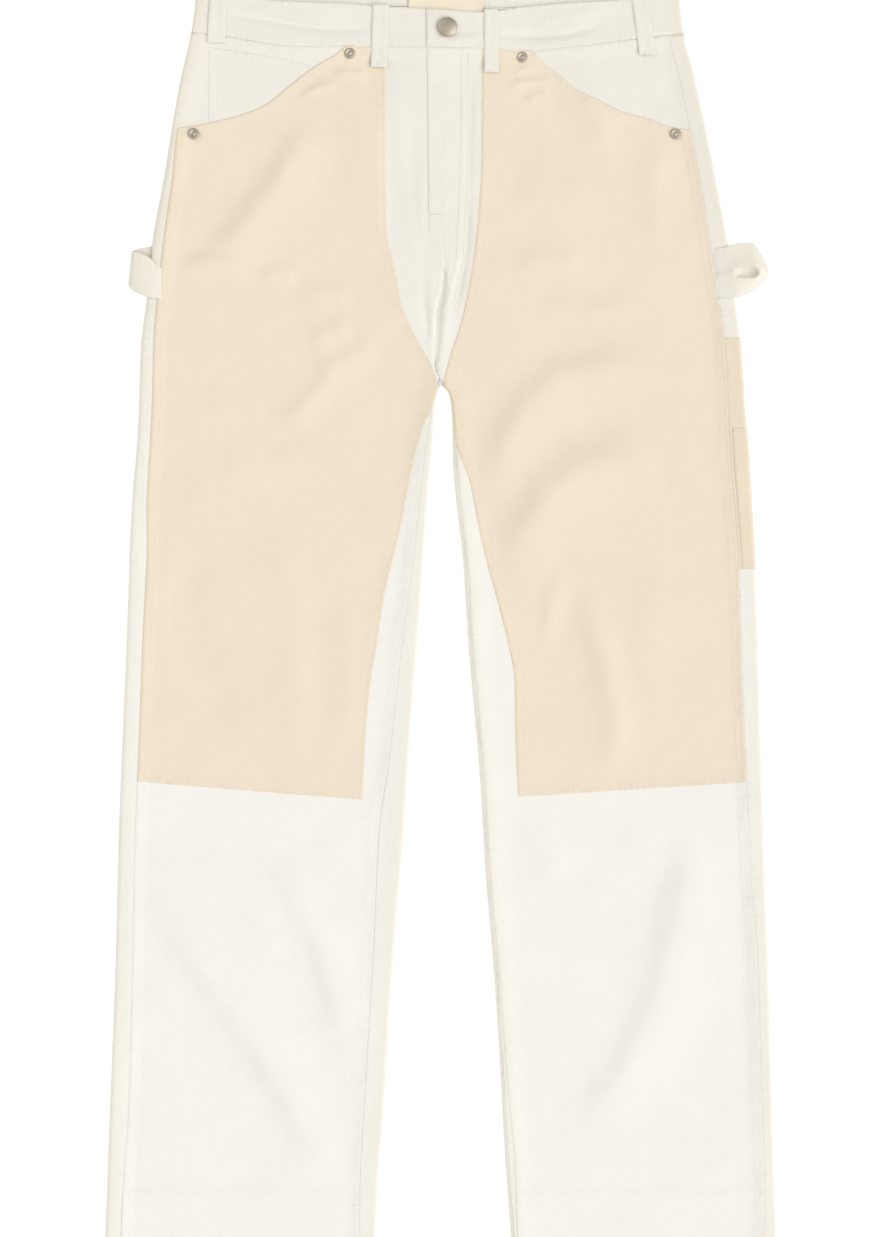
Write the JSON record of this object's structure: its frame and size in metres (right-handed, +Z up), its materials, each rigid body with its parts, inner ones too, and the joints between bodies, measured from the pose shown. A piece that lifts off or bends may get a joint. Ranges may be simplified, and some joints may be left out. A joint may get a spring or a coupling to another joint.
{
  "type": "canvas trousers laid flat",
  "caption": "Cream canvas work trousers with a beige double front, pocket mouths, hammer loops and a shank button, laid flat with the front up.",
  "frame": {"origin": "middle of the rectangle that the laid garment covers, on the surface it lies on", "axes": "+Y towards the waist, +Z up off the surface, +X to the right seen from above"},
  "size_m": [0.596, 1.135, 0.0125],
  "materials": {
    "cream_canvas": "cream cotton canvas, matt",
    "beige_canvas": "beige cotton canvas, matt",
    "label_cloth": "plain woven label, blank",
    "antique_metal": "dull antique metal"
  },
  "bodies": {
    "root": {"back_left": "cream_canvas", "back_right": "cream_canvas", "front_left": "cream_canvas", "front_right": "cream_canvas", "facing_left": "cream_canvas", "facing_right": "cream_canvas", "waistband_left": "cream_canvas", "waistband_right": "cream_canvas", "coin_pocket": "cream_canvas", "fly": "cream_canvas", "belt_loop_front_left": "cream_canvas", "belt_loop_front_right": "cream_canvas", "belt_loop_side_left": "cream_canvas", "belt_loop_side_right": "cream_canvas", "hammer_loop_left": "cream_canvas", "hammer_loop_right": "cream_canvas", "side_pocket": "cream_canvas", "knee_left": "beige_canvas", "knee_right": "beige_canvas", "tool_pocket_back": "beige_canvas", "tool_pocket_front": "beige_canvas", "label": "label_cloth", "button": "antique_metal", "rivet_left_side": "antique_metal", "rivet_left_waist": "antique_metal", "rivet_right_side": "antique_metal", "rivet_right_waist": "antique_metal"}
  },
  "joints": []
}
